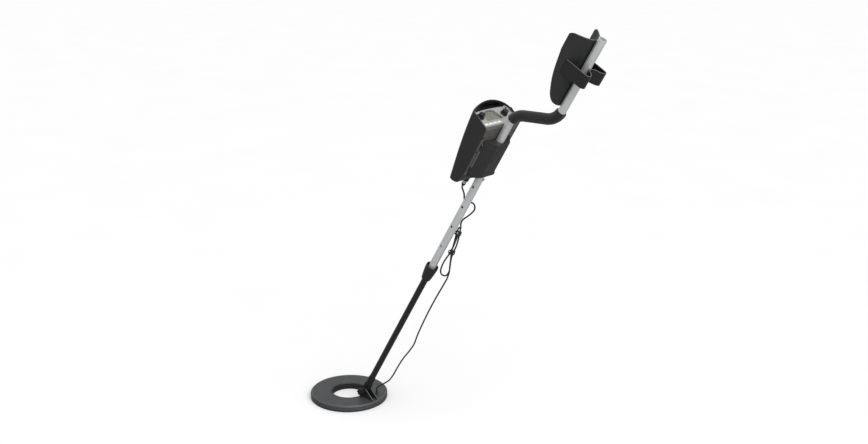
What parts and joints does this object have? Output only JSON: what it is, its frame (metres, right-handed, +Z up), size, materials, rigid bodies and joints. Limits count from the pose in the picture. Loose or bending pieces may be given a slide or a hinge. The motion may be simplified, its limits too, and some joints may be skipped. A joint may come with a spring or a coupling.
{
  "type": "metal detector",
  "caption": "Hand-held metal detector: ring search coil on a tilting, telescoping rod, control box, S-bent tube with foam grip, arm cuff and stand.",
  "frame": {"origin": "centre of the search coil's bottom face, on the ground", "axes": "+Z up, square to the coil; +X from the coil towards the user's arm, along the ground; +Y to the side away from the pivot knob"},
  "size_m": [0.8734, 0.21, 1.059],
  "materials": {
    "coil_plastic": "satin, fine moulded texture",
    "copper": "enamelled wire",
    "cable_rubber": "satin",
    "black_plastic": "satin moulded",
    "rod_black": "satin drawn tube",
    "steel": "zinc plated",
    "dark_steel": "blackened",
    "aluminium": "satin anodised",
    "foam": "closed-cell foam",
    "cuff_plastic": "satin sheet",
    "housing_plastic": "matte moulded",
    "base_plastic": "matte moulded",
    "cover_plastic": "satin moulded",
    "battery_wrap": "printed film",
    "panel_silver": "silver paint",
    "window": "clear",
    "display_face": "reflective display",
    "board_green": "solder mask",
    "button_white": "smooth",
    "knob_black": "satin",
    "chrome_trim": "bright nickel",
    "wire_red": "insulated wire"
  },
  "bodies": {
    "shaft": {"middle_tube": "aluminium", "mid_button_spring": "steel", "upper_tube": "aluminium", "foam_grip": "foam", "collet": "black_plastic", "arm_cuff": "cuff_plastic", "stand_bracket": "black_plastic", "cuff_bolts": "steel", "cuff_nuts": "steel", "housing_shell": "housing_plastic", "housing_base": "base_plastic", "housing_screws": "dark_steel", "tube_clamps": "black_plastic", "clamp_screws": "steel", "battery_holder": "black_plastic", "batteries": "battery_wrap", "battery_snaps": "black_plastic", "cover_hinge_pin": "steel", "front_panel": "panel_silver", "display_window": "window", "display_module": "display_face", "circuit_board": "board_green", "button_switches": "black_plastic", "mode_potentiometer": "steel", "sensitivity_potentiometer": "steel", "headphone_jack": "chrome_trim", "speaker": "dark_steel", "wiring_loom": "wire_red", "cable_socket": "chrome_trim", "cable_plug": "chrome_trim", "cable_upper_run": "cable_rubber", "cable_ties": "cable_rubber"},
    "lower_rod": {"rod_tip": "black_plastic", "lower_rod": "rod_black", "rod_button_spring": "steel", "cable_lower_run": "cable_rubber"},
    "rod_button": {"rod_button": "steel"},
    "mid_button": {"mid_button": "steel"},
    "collar": {"locking_collar": "black_plastic"},
    "coil": {"coil_lower_shell": "coil_plastic", "coil_upper_shell": "coil_plastic", "transmit_winding": "copper", "receive_winding": "copper", "cable_gland": "cable_rubber", "pivot_bolt": "black_plastic", "pivot_washers": "cable_rubber", "cable_coil_end": "cable_rubber"},
    "pivot_knob": {"pivot_knob": "black_plastic"},
    "plug_ring": {"plug_ring": "chrome_trim"},
    "mode_knob": {"mode_knob": "knob_black"},
    "sensitivity_knob": {"sensitivity_knob": "knob_black"},
    "battery_cover": {"battery_cover": "cover_plastic"},
    "battery_latch": {"battery_latch": "black_plastic"},
    "panel_button_1": {"panel_button_1": "button_white"},
    "panel_button_2": {"panel_button_2": "button_white"},
    "panel_button_3": {"panel_button_3": "button_white"},
    "panel_button_4": {"panel_button_4": "button_white"}
  },
  "joints": [
    {"name": "rod_extend", "type": "slide", "parent": "shaft", "child": "lower_rod", "axis": [0.5, 0, 0.866], "range_m": [0, 0.1905], "deforming": ["cable_lower_run", "rod_button", "rod_button_spring"]},
    {"name": "rod_button_press", "type": "slide", "parent": "lower_rod", "child": "rod_button", "axis": [0, 1, 0], "range_m": [0, 0.003], "stiffness_N_per_m": 900},
    {"name": "mid_button_press", "type": "slide", "parent": "shaft", "child": "mid_button", "axis": [-0.866, 0, 0.5], "range_m": [0, 0.003], "stiffness_N_per_m": 900, "deforming": ["mid_button_spring"]},
    {"name": "collar_twist", "type": "hinge", "parent": "shaft", "child": "collar", "pos_m": [0.2915, 0, 0.43304], "axis": [0.5, 0, 0.866], "range_deg": [0, 120]},
    {"name": "coil_tilt", "type": "hinge", "parent": "lower_rod", "child": "coil", "pos_m": [0.064, 0, 0.039], "axis": [0, 1, 0], "range_deg": [-50, 90], "deforming": ["cable_coil_end"]},
    {"name": "pivot_knob_turn", "type": "hinge", "parent": "coil", "child": "pivot_knob", "pos_m": [0.064, -0.017, 0.039], "axis": [0, 1, 0], "range_deg": [0, 360]},
    {"name": "plug_ring_turn", "type": "hinge", "parent": "shaft", "child": "plug_ring", "pos_m": [0.40315, -0.001, 0.68843], "axis": [0.5, 0, 0.866], "range_deg": [0, 360]},
    {"name": "mode_knob_turn", "type": "hinge", "parent": "shaft", "child": "mode_knob", "pos_m": [0.48369, -0.051, 0.85535], "axis": [0.6157, 0, 0.788], "range_deg": [-150, 150]},
    {"name": "sensitivity_knob_turn", "type": "hinge", "parent": "shaft", "child": "sensitivity_knob", "pos_m": [0.48684, 0.031, 0.85289], "axis": [0.6157, 0, 0.788], "range_deg": [-150, 150]},
    {"name": "cover_swing", "type": "hinge", "parent": "shaft", "child": "battery_cover", "pos_m": [0.46657, -0.0488, 0.75228], "axis": [-0.5, 0, -0.866], "range_deg": [0, 90]},
    {"name": "latch_slide", "type": "slide", "parent": "battery_cover", "child": "battery_latch", "axis": [-0.5, 0, -0.866], "range_m": [0, 0.004]},
    {"name": "panel_button_1_press", "type": "slide", "parent": "shaft", "child": "panel_button_1", "axis": [-0.6157, 0, -0.788], "range_m": [0, 0.0012], "stiffness_N_per_m": 600},
    {"name": "panel_button_2_press", "type": "slide", "parent": "shaft", "child": "panel_button_2", "axis": [-0.6157, 0, -0.788], "range_m": [0, 0.0012], "stiffness_N_per_m": 600},
    {"name": "panel_button_3_press", "type": "slide", "parent": "shaft", "child": "panel_button_3", "axis": [-0.6157, 0, -0.788], "range_m": [0, 0.0012], "stiffness_N_per_m": 600},
    {"name": "panel_button_4_press", "type": "slide", "parent": "shaft", "child": "panel_button_4", "axis": [-0.6157, 0, -0.788], "range_m": [0, 0.0012], "stiffness_N_per_m": 600}
  ]
}
